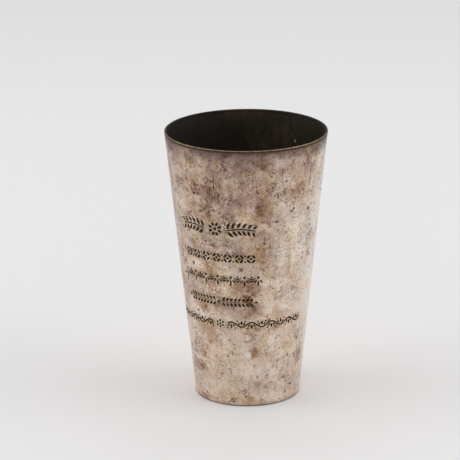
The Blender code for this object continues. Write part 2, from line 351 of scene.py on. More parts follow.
def patches(tree, flat, marks):
    """A mask of soft patches on the wall, from a list of marks."""
    total = 0.0
    for angle, height, half_width, half_height, strength in marks:
        across = math.degrees(half_width * MM / outer_radius(height * MM))
        local = vector_maths(
            tree, "MULTIPLY_ADD", flat, (1 / across, 1 / half_height, 0.0),
            (-angle / across, -height / half_height, 0.0))
        away = vector_maths(tree, "LENGTH", local)
        inside = maths(tree, "SUBTRACT", 1.0, away)
        spot = maths(tree, "MAXIMUM", inside, 0.0)
        total = maths(tree, "MULTIPLY_ADD", spot, strength, total)
    return total


def broken(tree, mask, noise, tear):
    """A mask broken by a noise into crisp, torn bits, which hold together best where it is strong.

    The noise swings about a half, and a higher tear gives it more say.
    """
    torn = weighed(tree, (noise, tear), (mask, 0.65), (1.0, -tear / 2))
    crisp = eased(tree, torn, 0.08, 0.34, 0.18, 1.1)
    return maths(tree, "MULTIPLY", mask, crisp)


def unrolled(tree, place):
    """The place on the wall laid flat, as angle from the front in degrees and height in mm.

    Angles run from -90 to 270, so that no mark on the stained side is cut in two. The height also
    comes by itself.
    """
    parts = node(tree, "SeparateXYZ", {0: place})
    back = maths(tree, "MULTIPLY", parts.outputs["Y"], -1.0)
    turn = maths(tree, "ARCTAN2", parts.outputs["X"], back)
    degrees = maths(tree, "DEGREES", turn)
    behind = maths(tree, "LESS_THAN", degrees, -90.0)
    angle = maths(tree, "MULTIPLY_ADD", behind, 360.0, degrees)
    return node(tree, "CombineXYZ", {0: angle, 1: parts.outputs["Z"]}), parts.outputs["Z"]


def specks(tree, sheet, cell, widest, share, soft):
    """Dark specks on a flat sheet, one in each chosen cell, with its own size and darkness.

    The share of the cells is chosen by lot. The other sizes are in mm.
    """
    cells = node(tree, "TexVoronoi", {"Vector": sheet, "Scale": 1 / cell}, voronoi_dimensions="2D")
    drawn = node(tree, "SeparateColor", {0: cells.outputs["Color"]})
    radius = eased(tree, drawn.outputs[0], 1 - share, 1 - share / 2, high=widest / cell)
    depth = maths(tree, "SUBTRACT", radius, cells.outputs["Distance"])
    spot = eased(tree, depth, 0.0, soft / cell)
    dark = scaled(tree, drawn.outputs[1], low=0.35)
    return maths(tree, "MULTIPLY", spot, dark)


MM_PER_DEGREE = 0.6         # along the wall at half its height


def wall_places(tree):
    """The place on the wall, and what it becomes when a noise shifts it a little or far.

    A mark that is compared with a shifted place has a ragged edge. Flat, shifted, swayed and nudged
    places are an angle in degrees and a height in mm. All the others are in mm.
    """
    at = SimpleNamespace(place=in_mm(tree))
    at.flat, at.height = unrolled(tree, at.place)
    noise = noise_in(tree, at.place, 5.0, detail=6.0, roughness=0.7)
    ragged = vector_maths(tree, "SUBTRACT", noise.outputs["Color"], (0.5, 0.5, 0.5))
    even = vector_maths(tree, "MULTIPLY", at.flat, (MM_PER_DEGREE, 1.0, 0.0))
    for name, start, shift in (
            ("shifted", at.flat, (26.0, 13.0, 0.0)),
            ("swayed", at.flat, (9.0, 6.0, 0.0)),
            ("nudged", at.flat, (2.5, 1.6, 0.0)),
            ("loose", at.place, (2.0, 2.0, 2.0)),
            ("torn", at.place, (13.0, 13.0, 13.0)),
            ("sheet", even, (4.0, 3.0, 0.0)),
    ):
        moved = vector_maths(tree, "MULTIPLY_ADD", ragged, shift, start)
        setattr(at, name, moved)
    return at


def add_marks(tree, at):
    """The stains, patches and wide areas of the film, torn by noises of 4 mm and of 2 mm."""
    at.crumbs = noise_in(tree, at.place, 4.0, detail=5.0, roughness=0.7)
    at.shreds = noise_in(tree, at.loose, 1.9, detail=4.0, roughness=0.7)
    tatters = weighed(tree, (at.crumbs, 0.5), (at.shreds, 0.5))
    at.brown = broken(tree, patches(tree, at.shifted, BROWN_STAINS), tatters, 6.0)
    at.mauve = broken(tree, patches(tree, at.shifted, MAUVE_STAINS), at.crumbs, 2.5)
    at.rust = patches(tree, at.shifted, RUST_STAINS)
    at.pale = broken(tree, patches(tree, at.shifted, PALE_PATCHES), tatters, 3.5)
    at.grime = patches(tree, at.shifted, GRIMED_ROWS)
    at.dulled = broken(tree, patches(tree, at.swayed, DULLED), tatters, 3.0)
    at.bright = patches(tree, at.swayed, THINNED_AND_EDGE_SHEEN)


def add_clouds_and_flakes(tree, at):
    """The clouds that the film has grown in, and where it has lifted."""
    # The clouds are of every size from 34 mm down. Their dark side runs the furthest, and they are
    # calmer low on the wall.
    at.clouds = noise_in(tree, at.place, 34.0, detail=7.0, roughness=0.79)
    at.above = maths(tree, "SUBTRACT", at.clouds, 0.5)
    at.darker = maths(tree, "MAXIMUM", at.above, 0.0)
    low = scaled(tree, at.height, 55.0, 25.0)
    at.calmed = maths(tree, "MULTIPLY", at.above, low)

    # It has come off in plaques and scales with torn edges, each of its own thickness.
    for name, width in (("plaques", 8.0), ("scales", 3.0)):
        cells = node(tree, "TexVoronoi", {"Vector": at.torn, "Scale": 1 / width})
        setattr(at, name, node(tree, "SeparateColor", {0: cells.outputs["Color"]}))

    # Between them lie pale flakes and chips with crisp edges.
    lifted = noise_in(tree, at.torn, 7.0, detail=7.0, roughness=0.72)
    at.flakes = eased(tree, lifted, 0.50, 0.55)
    chipped = noise_in(tree, at.loose, 2.8, detail=5.0, roughness=0.7)
    at.chips = eased(tree, chipped, 0.52, 0.58)
    at.rubbed = maths(tree, "MULTIPLY", at.chips, at.grime)

    # The edges have curled and gone brown, in short crooked lines.
    curl = noise_in(tree, at.loose, 6.0, detail=3.0)
    swing = maths(tree, "SUBTRACT", curl, 0.5)
    off_line = maths(tree, "ABSOLUTE", swing)
    thin = eased(tree, off_line, 0.028, 0.008)
    lengths = noise_in(tree, at.torn, 7.0, detail=2.0)
    stretch = eased(tree, lengths, 0.48, 0.56)
    at.curled = maths(tree, "MULTIPLY", thin, stretch)


def add_grain(tree, at):
    """Brown pits and pale flecks of half a millimetre and up, thick in some places and thin in others."""
    at.upper = eased(tree, at.height, 35.0, 115.0)
    drifts = noise_in(tree, at.place, 14.0, detail=2.0)
    gathered = scaled(tree, drifts, 0.43, 0.62, 0.2)
    swarming = patches(tree, at.shifted, SWARMING)
    at.swarm = weighed(tree, (gathered, 1.0), (at.upper, 0.45), (at.brown, 0.7), (swarming, 1.0))
    at.mottle = noise_in(tree, at.loose, 2.2, detail=4.0, roughness=0.75)
    at.grain = noise_in(tree, at.place, 0.8, detail=2.0, roughness=0.6)
    for name, noise in (("blots", at.mottle), ("pits", at.grain)):
        dark = eased(tree, noise, 0.55, 0.68)
        setattr(at, name, maths(tree, "MULTIPLY", dark, at.swarm))
    at.flecks = eased(tree, at.grain, 0.45, 0.32)


def add_lines_and_edges(tree, at):
    """What the cloth has dragged, what has run, chipped or crazed, and the film and painted shade at the
    lip and heel.
    """
    # Upright lines, dragged by a cloth, about 1.4 degrees wide and 22 mm long.
    drag = node(tree, "Mapping", {"Vector": at.flat, "Scale": (1 / 1.4, 1 / 22.0, 0.0)})
    threads = noise_in(tree, drag, 1.0, detail=2.0)
    lines = eased(tree, threads, 0.55, 0.66)
    where = weighed(tree, (patches(tree, at.shifted, STREAKED), 1.0), (1.0, 0.08))
    at.streaks = maths(tree, "MULTIPLY", lines, where)

    # A few drips that dried where they ran.
    at.drips = patches(tree, at.nudged, DRIPS)

    # Chips of the film have come off whole, down to the pale plate.
    whole = broken(tree, patches(tree, at.nudged, BARE_CHIPS), at.shreds, 3.0)
    at.bare = eased(tree, whole, 0.1, 0.5)

    # Fine dark cracks in the crazed film.
    plates = node(tree, "TexVoronoi", {"Vector": at.loose, "Scale": 1 / 1.7}, feature="DISTANCE_TO_EDGE")
    gaps = eased(tree, plates, 0.2, 0.02)
    at.cracks = maths(tree, "MULTIPLY", gaps, patches(tree, at.shifted, CRAZED))

    # Under the lip the film is thickest, and it thins out downwards. Right under the lip a brown band is
    # painted, for the shade under the lip's bead as well as dirt.
    lift = weighed(tree, (at.clouds, 16.0), (at.crumbs, 5.0), (at.height, 1.0))
    # Along the heel the plate is painted darker, for the shade near the table as well as dirt.
    heel_shade_and_dirt = weighed(tree, (at.crumbs, 3.0), (at.height, 1.0))
    for name, value, start, full in (
            ("rim", lift, 140.5, 149.5), ("under_lip", lift, 146.5, 150.0), ("heel", heel_shade_and_dirt, 2.9, 1.7)):
        setattr(at, name, eased(tree, value, start, full))


# How thick the plate's film is where nothing else adds to it, how far its clouds swing, and how much
# further their dark side goes.
FILM_LEVEL = 0.12
CLOUD_DEPTH = 1.1
DARK_SIDE = 0.8


def film_thickness(tree, at):
    """How thick the film is, from 0 for clean plate to 1: what each kind of mark adds or takes away."""
    return weighed(
        tree, (1.0, FILM_LEVEL), (at.above, CLOUD_DEPTH), (at.calmed, -0.5), (at.darker, DARK_SIDE),
        (at.plaques, 0.10), (at.scales, 0.07), (at.blots, 0.28), (at.pits, 0.20), (at.flecks, -0.12),
        (at.upper, 0.15), (at.rim, 0.20), (at.heel, 0.33), (at.brown, 0.46), (at.mauve, 0.24),
        (at.rust, 0.09), (at.pale, -0.22), (at.grime, 0.17), (at.streaks, 0.40), (at.cracks, 0.45),
        (at.dulled, 0.31), (at.bright, -0.24), (at.drips, 0.45), (at.flakes, -0.07), (at.chips, -0.05),
        (at.rubbed, -0.13), (at.curled, 0.30), (at.bare, -0.25),
    )


# The film's colours at these thicknesses: as it mostly is, where it is cooler, and where it is warmer.
FILM_STEPS = [0.0, 1.0, 0.28, 0.48, 0.68, 0.88]
PLAIN_FILM = ["#ead7c6", "#553a28", "#c9b09b", "#af9079", "#92705b", "#71523f"]
COOL_FILM = ["#e4d5c9", "#523a30", "#c5b2a4", "#ab9283", "#8e7265", "#6e5448"]
WARM_FILM = ["#ebd9c2", "#563a22", "#ccb395", "#b29371", "#977352", "#755437"]
BARE_PLATE = "#e3d9cf"


def film_colour(tree, at, film):
    """Pale pinkish plate that goes tan and brown as the film thickens, mauve or rusty in places."""
    plain, cool, warm = [
        node(tree, "ValToRGB", {"Fac": film}, zip(FILM_STEPS, codes))
        for codes in (PLAIN_FILM, COOL_FILM, WARM_FILM)
    ]
    drift = noise_in(tree, at.torn, 13.0, detail=4.0)
    cool_clouds = scaled(tree, drift, 0.42, 0.60)
    glow = noise_in(tree, at.loose, 9.0, detail=4.0)
    warm_clouds = scaled(tree, glow, 0.48, 0.66)
    coolness = weighed(
        tree, (at.mauve, 0.8), (at.rim, 0.6), (cool_clouds, 1.0), (at.upper, 0.5), (at.brown, -0.5))
    cooled = node(tree, "Mix", {"Factor": coolness, "A": plain, "B": cool}, data_type="RGBA")
    warmth = weighed(tree, (at.rust, 0.9), (warm_clouds, 0.65), (at.brown, 0.1))
    tinted = node(tree, "Mix", {"Factor": warmth, "A": cooled, "B": warm}, data_type="RGBA")

    # Along the engraving the grime makes it less red, and at the sides the plate is painted whiter, a
    # painted reflection of the white room at grazing angles.
    greyed = node(tree, "HueSaturation", {
        "Hue": 0.52, "Fac": weighed(tree, (at.grime, 0.9)), "Color": tinted})
    whiter = node(tree, "HueSaturation", {
        "Saturation": 0.65, "Fac": patches(tree, at.flat, GRAZING_REFLECTION_PALING), "Color": greyed})

    # The film under the lip is mauve grey, and next to the lip a brown band is painted, for the shade
    # under the lip's bead as well as dirt.
    return laid_over(tree, whiter, [
        (at.bare, 0.45, BARE_PLATE), (at.rim, 0.75, "#705d57"), (at.under_lip, 0.6, "#4d3b2c")])


def mottled_silver_plate():
    """Electroplated silver on nickel silver, gone blotchy.

    The plate gives a satin metal that is pale and pinkish where it is clean. A film of silver
    sulphide turns it tan, brown and mauve, and makes it duller and less like metal.
    """
    made, tree, shader = material("mottled_silver_plate")
    at = wall_places(tree)
    add_marks(tree, at)
    add_clouds_and_flakes(tree, at)
    add_grain(tree, at)
    add_lines_and_edges(tree, at)
    film = film_thickness(tree, at)
    surface = film_colour(tree, at, film)

    # Specks of black sulphide, singly and in swarms, and none of them round.
    fraying = vector_maths(tree, "SUBTRACT", at.grain.outputs["Color"], (0.5, 0.5, 0.5))
    frayed = vector_maths(tree, "MULTIPLY_ADD", fraying, (2.2, 2.2, 0.0), at.sheet)
    sooty = eased(tree, at.mottle, 0.52, 0.62)
    smuts = maths(tree, "MULTIPLY", sooty, at.rim)
    small, middling = [
        maths(tree, "MULTIPLY", specks(tree, frayed, *sizes), at.swarm)
        for sizes in ((1.5, 0.36, 0.4, 0.2), (3.4, 0.62, 0.4, 0.25))
    ]
    large = specks(tree, frayed, 7.0, 1.1, 0.36, 0.4)
    placed = eased(tree, patches(tree, at.nudged, DARK_SPECKS), 0.1, 0.5)
    scattered = maths(tree, "MAXIMUM", large, middling)
    single = maths(tree, "MAXIMUM", scattered, placed)
    finished = laid_over(tree, surface, [
        (small, 0.7, "#733d1c"), (smuts, 0.55, "#3d3226"),
        (scattered, 0.88, "#50240f"), (placed, 0.9, "#2e2116"),
    ])

    # A thicker film is less like metal and rougher.
    join(tree, shader, {
        "Base Color": finished,
        "Metallic": scaled(tree, weighed(tree, (film, 1.0), (single, 0.8)), 0.28, 0.98, 0.9, 0.5),
        "Roughness": scaled(tree, film, 0.18, 0.88, 0.42, 0.62),
        "Normal": node(tree, "Bump", {
            "Height": weighed(tree, (scattered, -0.8), (at.grain, 0.8), (at.mottle, 1.0)),
            "Strength": 1.0, "Distance": 0.05 * MM}),
        "Sheen Weight": 0.12,
        "Sheen Roughness": 0.4,
    })
    return made


# On the lining, as in the lists above: a small chip near the lip whose pale spot is a painted glint,
# and painted light and shade: the film is painted thinner, so lighter, across the back and near the lip,
# where the inside catches the light, and thicker beside it. A strength below 0 is where the film is
# painted thickest.
CHIP_GLINT = [(165.0, 125.5, 0.5, 0.9, 3.0)]
LINING_LIGHT_AND_SHADE = [(188, 123, 36.0, 26.0, 1.1), (208, 138, 26.0, 8.0, 1.1), (242, 123, 30.0, 26.0, -0.9)]


def blackened_lining():
    """The inside of the plate, never polished: a black brown film with a half gloss."""
    made, tree, shader = material("blackened_lining")
    place = in_mm(tree)
    flat = unrolled(tree, place)[0]
    drips = node(tree, "Mapping", {"Vector": place, "Scale": (1.0, 1.0, 0.5)})
    runs = noise_in(tree, drips, 3.0, detail=5.0)
    clouds = noise_in(tree, place, 14.0, detail=6.0, roughness=0.7)
    film = maths(tree, "MULTIPLY", runs, clouds)
    # The film is painted thinner where the inside catches the light and thicker where it lies in shade.
    thin = weighed(tree, (film, 0.5), (1.0, 0.12), (patches(tree, flat, LINING_LIGHT_AND_SHADE), 0.11))
    dark = node(tree, "ValToRGB", {"Fac": thin}, [(0.12, "#150f0a"), (0.5, "#4b3f2b"), (0.3, "#251d12")])
    # A pale spot painted as a glint on a small chip near the lip.
    chip_glint = maths(tree, "MINIMUM", patches(tree, flat, CHIP_GLINT), 1.0)
    join(tree, shader, {
        "Base Color": laid_over(tree, dark, [(chip_glint, 1.0, "#a39a8f")]),
        "Metallic": 0.3,
        "Roughness": scaled(tree, runs, low=0.5, high=0.7),
        "Specular IOR Level": 0.25,
    })
    return made


def cut_patina():
    """Polish dirt and black film, matt, where no cloth reaches: in the cuts, on the lip and at the heel,
    where it is also painted shade.
    """
    made, tree, shader = material("cut_patina")
    dirt = noise_in(tree, in_mm(tree), 0.8, detail=3.0)
    brown = node(tree, "ValToRGB", {"Fac": dirt}, [(0.3, "#21170d"), (0.8, "#604a35"), (0.55, "#392a1b")])
    join(tree, shader, {
        "Base Color": brown,
        "Metallic": 0.0,
        "Roughness": 0.8,
        "Specular IOR Level": 0.2,
    })
    return made


def rubbed_nickel_silver():
    """Nickel silver where the plate is rubbed off: a greyish tan satin metal with brown in its hollows."""
    made, tree, shader = material("rubbed_nickel_silver")
    wear = noise_in(tree, in_mm(tree), 2.5, detail=6.0, roughness=0.65)
    tan = node(tree, "ValToRGB", {"Fac": wear}, [(0.3, "#5c4a37"), (0.7, "#a38c73"), (0.5, "#85705a")])
    join(tree, shader, {
        "Base Color": tan,
        "Metallic": 0.95,
        "Roughness": scaled(tree, wear, low=0.5, high=0.3),
    })
    return made


def browned_solder():
    """Soft solder under brown tarnish: dull, and a little grainy."""
    made, tree, shader = material("browned_solder")
    grain = noise_in(tree, in_mm(tree), 1.2, detail=5.0)
    brown = node(tree, "ValToRGB", {"Fac": grain}, [(0.3, "#3d2f22"), (0.8, "#78634d"), (0.6, "#5c4a38")])
    join(tree, shader, {
        "Base Color": brown,
        "Metallic": 0.5,
        "Roughness": 0.6,
        "Specular IOR Level": 0.3,
        "Normal": node(tree, "Bump", {"Height": grain, "Distance": 0.05 * MM}),
    })
    return made


def browned_braze():
    """Brass braze, filed flush with the sheet: a slightly yellower line under the same brown film."""
    made, tree, shader = material("browned_braze")
    grain = noise_in(tree, in_mm(tree), 3.0, detail=6.0, roughness=0.7)
    tan = node(tree, "ValToRGB", {"Fac": grain}, [(0.3, "#5f4c36"), (0.8, "#b39c7a"), (0.55, "#8c7659")])
    join(tree, shader, {"Base Color": tan, "Metallic": 0.85, "Roughness": 0.5})
    return made


def blackened_base():
    """The base, turned on a lathe and never polished: fine rings under a brown black film."""
    made, tree, shader = material("blackened_base")
    place = in_mm(tree)
    rings = node(tree, "TexWave", {
        "Vector": place, "Scale": 1 / 3.0, "Distortion": 0.6, "Detail": 2.0,
    }, wave_type="RINGS", rings_direction="Z")
    film = noise_in(tree, place, 6.0, detail=6.0)
    both = weighed(tree, (rings, 0.15), (film, 1.0))
    dark = node(tree, "ValToRGB", {"Fac": both}, [(0.3, "#1b1610"), (0.85, "#6a5b4c"), (0.55, "#37302a")])
    join(tree, shader, {
        "Base Color": dark,
        "Metallic": 0.7,
        "Roughness": scaled(tree, film, low=0.35, high=0.6),
        "Normal": node(tree, "Bump", {"Height": rings, "Distance": 0.02 * MM}),
    })
    return made


# Meshes

def into_scene(maker, name, materials=()):
    """Turns a bmesh into an object of the scene with its materials."""
    mesh = bpy.data.meshes.new(name)
    maker.to_mesh(mesh)
    maker.free()
    for used in materials:
        mesh.materials.append(used)
    made = bpy.data.objects.new(name, mesh)
    bpy.context.scene.collection.objects.link(made)
    return made


def smooth(mesh):
    """Shades a mesh smoothly between its sharp edges."""
    mesh.shade_smooth()
    mesh.set_sharp_from_angle(angle=math.radians(SHARP_ANGLE))


def finish_piece(maker, name, materials, replaced, painted=None):
    """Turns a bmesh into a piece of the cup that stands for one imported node.

    Painted gives the number of the material of each face round the piece's section. Without it
    every face takes the first.
    """
    bmesh.ops.recalc_face_normals(maker, faces=maker.faces)
    if painted:
        maker.faces.ensure_lookup_table()
        for index, face in enumerate(maker.faces):
            face.material_index = painted[index % len(painted)]
    piece = into_scene(maker, name, materials)
    smooth(piece.data)
    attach(piece, BODY)
    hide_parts(replaced)
    return piece


def arc(centre, radii, first, last, steps):
    """Points of an elliptical arc in the (radius, height) plane, angles in degrees."""
    points = []
    for step in range(steps + 1):
        turn = math.radians(first + (last - first) * step / steps)
        points.append((centre[0] + radii[0] * math.cos(turn), centre[1] + radii[1] * math.sin(turn)))
    return points


def skin(maker, sections):
    """Faces from each section to the next. All the sections have the same number of corners."""
    for here, there in zip(sections, sections[1:]):
        for index in range(len(here)):
            after = (index + 1) % len(here)
            maker.faces.new((here[index], there[index], there[after], here[after]))


def turned(outline, wobble=None):
    """A ring turned about Z from a closed outline of (radius, height) points.

    A wobble says how far a point of the outline moves inwards at an angle.
    """
    maker = bmesh.new()
    sections = []
    for step in range(STEPS_AROUND):
        angle = math.tau * step / STEPS_AROUND
        section = []
        for radius, height in outline:
            inwards = wobble(angle, height) if wobble else 0.0
            section.append(maker.verts.new(around(angle, radius - inwards, height)))
        sections.append(section)
    skin(maker, sections + sections[:1])
    return maker


# The engraving: five rows of traditional ornament, cut with a burin. Heights and sizes in mm, and
# angles in degrees.

CUT_LIFT = 0.05       # how far a cutter stands out of the sheet
CUT_SLOPE = 1.25      # half width of a cut for each mm of its depth
FINEST_CUT = 0.04     # half width at a cut's tips
LEAF_STEPS = 8
FULLEST = 0.45        # where along its length a leaf is widest
BLUNTNESS = 0.65      # the lower it is, the blunter a leaf's ends are


def taper(share):
    """The width of a leaf cut along its length: pointed at both ends and fullest near the root."""
    bent = share ** (math.log(0.5) / math.log(FULLEST))
    return math.sin(math.pi * bent) ** BLUNTNESS


def leaf(x, y, heading, length, half_width, curl=0.0):
    """One wedge cut from (x, y) along a heading, bent by curl along its length."""
    points = []
    for step in range(LEAF_STEPS + 1):
        share = step / LEAF_STEPS
        points.append((x, y, max(FINEST_CUT, half_width * taper(share))))
        turn = math.radians(heading + curl * (share - 0.5))
        x += length / LEAF_STEPS * math.cos(turn)
        y += length / LEAF_STEPS * math.sin(turn)
    return points


def line(path, half_width, ends=0.12):
    """A thin cut along points, tapered over a share of its length at both ends."""
    last = len(path) - 1
    points = []
    for index, (x, y) in enumerate(path):
        share = min(index, last - index) / last
        points.append((x, y, max(FINEST_CUT, half_width * min(1.0, share / ends))))
    return points


def dot(x, y, radius):
    """A round peck, as a very short cut."""
    points = []
    for side in (-1.0, -0.7, 0.0, 0.7, 1.0):
        points.append((x + radius * side, y, max(FINEST_CUT, radius * math.sqrt(1 - side * side))))
    return points


def spread(first, last, steps):
    """Evenly spaced places from first to last."""
    return [first + (last - first) * step / steps for step in range(steps + 1)]


def mirrored(cuts):
    """The cuts and their mirror images about the middle of the row."""
    return cuts + [[(-x, y, half_width) for x, y, half_width in cut] for cut in cuts]


def star(petals, root, length, half_width, centre):
    """Petals round a peck at the middle of the row."""
    cuts = [dot(0.0, 0.0, centre)]
    for petal in range(petals):
        heading = 360 / petals * (petal + 0.5)
        turn = math.radians(heading)
        cuts.append(leaf(root * math.cos(turn), root * math.sin(turn), heading, length, half_width))
    return cuts


def laurel_row():
    """A rosette between two laurel sprigs, whose leaves get shorter along a bowed stem."""
    start, first, pairs, pitch = 5.4, 1.0, 6, 2.6
    bow, sunk, stem_width = 1.2, 0.55, 0.36
    lean, gap, curl = 52, 0.75, 40
    length, shorter, half_width, slimmer, gap_at_tip = 4.0, 0.2, 0.8, 0.03, 0.6
    tip = start + pairs * pitch + gap_at_tip
    nearby = 0.1

    def stem(x):
        return bow * math.sin((x - start) / (tip - start) * math.pi) - sunk

    spray = [line([(x, stem(x)) for x in spread(start, tip, 24)], stem_width)]
    for pair in range(pairs):
        x = start + first + pitch * pair
        slope = math.degrees(math.atan((stem(x + nearby) - stem(x)) / nearby))
        for side in (-1, 1):
            heading = slope + side * lean
            turn = math.radians(heading)
            spray.append(leaf(
                x + gap * math.cos(turn), stem(x) + gap * math.sin(turn), heading,
                length - shorter * pair, half_width - slimmer * pair, curl=-side * curl))
    return star(petals=8, root=1.6, length=2.3, half_width=0.74, centre=0.9) + mirrored(spray)


def lozenge_row():
    """Lozenges cut in four strokes round a peck, with pecks above and below each meeting."""
    pitch, half_width, half_height, short, each_side = 6.0, 2.45, 2.5, 0.12, 3
    stroke_width, middle_peck, outer_peck, peck_height = 0.66, 0.7, 0.55, 1.6
    cuts = []
    for place in range(-each_side, each_side + 1):
        x = place * pitch
        corners = [(x + half_width, 0.0), (x, half_height), (x - half_width, 0.0), (x, -half_height)]
        for (x0, y0), (x1, y1) in zip(corners, corners[1:] + corners[:1]):
            heading = math.degrees(math.atan2(y1 - y0, x1 - x0))
            start = (x0 + short * (x1 - x0), y0 + short * (y1 - y0))
            length = math.hypot(x1 - x0, y1 - y0) * (1 - 2 * short)
            cuts.append(leaf(*start, heading, length, stroke_width))
        cuts.append(dot(x, 0.0, middle_peck))
    for gap in range(-each_side, each_side):
        for side in (-1, 1):
            cuts.append(dot((gap + 0.5) * pitch, peck_height * side, outer_peck))
    return cuts


def festoon_row():
    """A run of double festoons, with a drop of three leaves at each tie and a berry in each loop."""
    pitch, sag, tie, ties, root = 7.0, 2.0, 1.2, 3, 1.25
    drop = [(-90, 3.4, 0.5), (-130, 2.4, 0.46), (-50, 2.4, 0.46)]    # heading, length, half width
    loops = [(1.35, 0.6, 0.5), (1.1, 1.8, 0.4)]                      # gap at the tie, lift, half width
    cuts = []
    for place in range(-ties, ties + 1):
        x = place * pitch
        cuts.append(dot(x, tie + 0.75, 0.72))
        for heading, length, width in drop:
            turn = math.radians(heading)
            cuts.append(leaf(
                x + root * math.cos(turn), tie + 0.45 + root * math.sin(turn), heading, length, width))
    for gap in range(-ties, ties):
        middle = (gap + 0.5) * pitch
        for short, lift, width in loops:
            half = pitch / 2 - short
            path = [
                (middle + half * share, tie + lift - sag * (1 - share ** 2)) for share in spread(-1, 1, 20)]
            cuts.append(line(path, width, ends=0.4))
        cuts.append(dot(middle, tie + 0.95, 0.55))
    return cuts


def wheat_row():
    """Two ears of wheat, tips outwards, from a peck at the middle."""
    pairs, pitch, first, stalk = 8, 2.05, 2.0, 0.6
    tip = first + pitch * pairs
    half = [line([(x, 0.0) for x in spread(first - stalk, tip - stalk, 12)], 0.17)]
    for pair in range(pairs):
        for side in (-1, 1):
            half.append(leaf(first + pitch * pair, 0.45 * side, 50 * side, 2.4, 0.64, curl=-side * 26))
    half.append(leaf(tip, 0.0, 0.0, 2.0, 0.5))
    return [dot(0.0, 0.0, 0.75)] + mirrored(half)


def garland_row():
    """A long garland: a waving stem with three leaves in the hollow of each bend and berries between."""
    start, bends, pitch, swing = 3.4, 8, 5.2, 1.3
    hollow, beside, lean = swing - 0.72, 0.78, 40
    berry_across, berry_height, berry = 2.05, 1.9, 0.46
    tip = start + bends * pitch + 1.2

    def stem(x):
        return swing * math.sin(math.pi * (x - start) / pitch)

    half = [line([(x, stem(x)) for x in spread(start, tip, 150)], 0.42, ends=0.03)]
    for bend in range(bends):
        middle = start + pitch * (0.5 + bend)
        side = 1 if bend % 2 == 0 else -1
        half.append(leaf(middle, side * (hollow - 0.4), -side * 90, 2.3, 0.6))
        for across in (-1, 1):
            heading = -side * (90 - across * lean)
            half.append(leaf(middle + across * beside, side * (hollow - 0.3), heading, 1.8, 0.46))
            half.append(dot(middle + across * berry_across, -side * berry_height, berry))
    return star(petals=6, root=0.95, length=1.5, half_width=0.5, centre=0.55) + mirrored(half)


# The rows from the top down, with the height of each one's middle.
ROWS = [
    (97.6, laurel_row), (82.2, lozenge_row), (70.0, festoon_row), (58.2, wheat_row), (46.0, garland_row)]


def cutters():
    """All the engraver's cuts as closed wedges, bent round the wall.

    Their faces carry the number of the patina among the wall's materials.
    """
    patina_number = 2
    maker = bmesh.new()
    for middle, row in ROWS:
        bend_radius = outer_radius(middle * MM)
        for cut in row():
            sections = []
            for index, (x, y, half_width) in enumerate(cut):
                before, after = cut[max(index - 1, 0)], cut[min(index + 1, len(cut) - 1)]
                along = Vector((after[0] - before[0], after[1] - before[1])).normalized()
                wide = half_width + CUT_LIFT * CUT_SLOPE
                section = []
                for side, out in ((wide, CUT_LIFT), (0.0, -half_width / CUT_SLOPE), (-wide, CUT_LIFT)):
                    angle = (x - along.y * side) * MM / bend_radius
                    height = (middle + y + along.x * side) * MM
                    radius = outer_radius(height) - unevenness(angle, height) + out * MM
                    section.append(maker.verts.new(around(angle, radius, height)))
                sections.append(section)
            skin(maker, sections)
            maker.faces.new(sections[0])
            maker.faces.new(sections[-1])
    bmesh.ops.recalc_face_normals(maker, faces=maker.faces)
    for face in maker.faces:
        face.material_index = patina_number
    return into_scene(maker, "engraving_cutters")


def cut_away(piece, tool):
    """Cuts a tool out of a piece for good, and removes the tool."""
    for used in piece.data.materials:
        tool.data.materials.append(used)
    change = piece.modifiers.new("cut", "BOOLEAN")
    change.operation = "DIFFERENCE"
    change.object = tool
    changed = piece.evaluated_get(bpy.context.evaluated_depsgraph_get())
    shape = bpy.data.meshes.new_from_object(changed)
    piece.modifiers.clear()
    piece.data = shape
    smooth(shape)
    bpy.data.objects.remove(tool)


def slot_tool():
    """The box that opens the wall along its back for the seam, deeper and longer than the wall."""
    maker = bmesh.new()
    bmesh.ops.create_cube(maker, size=1.0)
    deep, long = 4 * WALL_ACROSS, 1.2 * WALL_TOP
    reach_back = (outer_radius(WALL_BOTTOM) + outer_radius(WALL_TOP)) / 2
    lean = Matrix.Rotation(-math.atan(TAPER), 4, "X")
    size = Matrix.Diagonal((SEAM_WIDTH + 2 * CONTACT, deep, long, 1.0))
    middle = Matrix.Translation((0.0, reach_back - WALL_ACROSS / 2, (WALL_BOTTOM + WALL_TOP) / 2))
    maker.transform(middle @ lean @ size)
    return into_scene(maker, "seam_slot")


def wall_outline():
    """The sheet's section: rows up the outside and down the inside, with eased edges."""
    ease = 0.12 * MM
    low, high = WALL_BOTTOM + ease, WALL_TOP - ease
    outline = [(outer_radius(height), height) for height in spread(low, high, WALL_ROWS)]
    outline += [(outer_radius(WALL_TOP) - ease, WALL_TOP), (inner_radius(WALL_TOP) + ease, WALL_TOP)]
    outline += [(inner_radius(height), height) for height in spread(high, low, LINING_ROWS)]
    outline += [(inner_radius(WALL_BOTTOM) + ease, WALL_BOTTOM)]
    outline += [(outer_radius(WALL_BOTTOM) - ease, WALL_BOTTOM)]
    return outline


def wall(plate, lining, patina):
    """The rolled sheet, engraved outside, with its blackened lining on the inner faces and the top edge."""
    outline = wall_outline()
    painted = [0] * len(outline)
    # The outside and the bottom edge stay plate.
    for index in range(WALL_ROWS + 1, len(outline) - 2):
        painted[index] = 1
    piece = finish_piece(
        turned(outline, unevenness), "wall", [plate, lining, patina],
        "body_wall", painted)
    cut_away(piece, cutters())
    cut_away(piece, slot_tool())


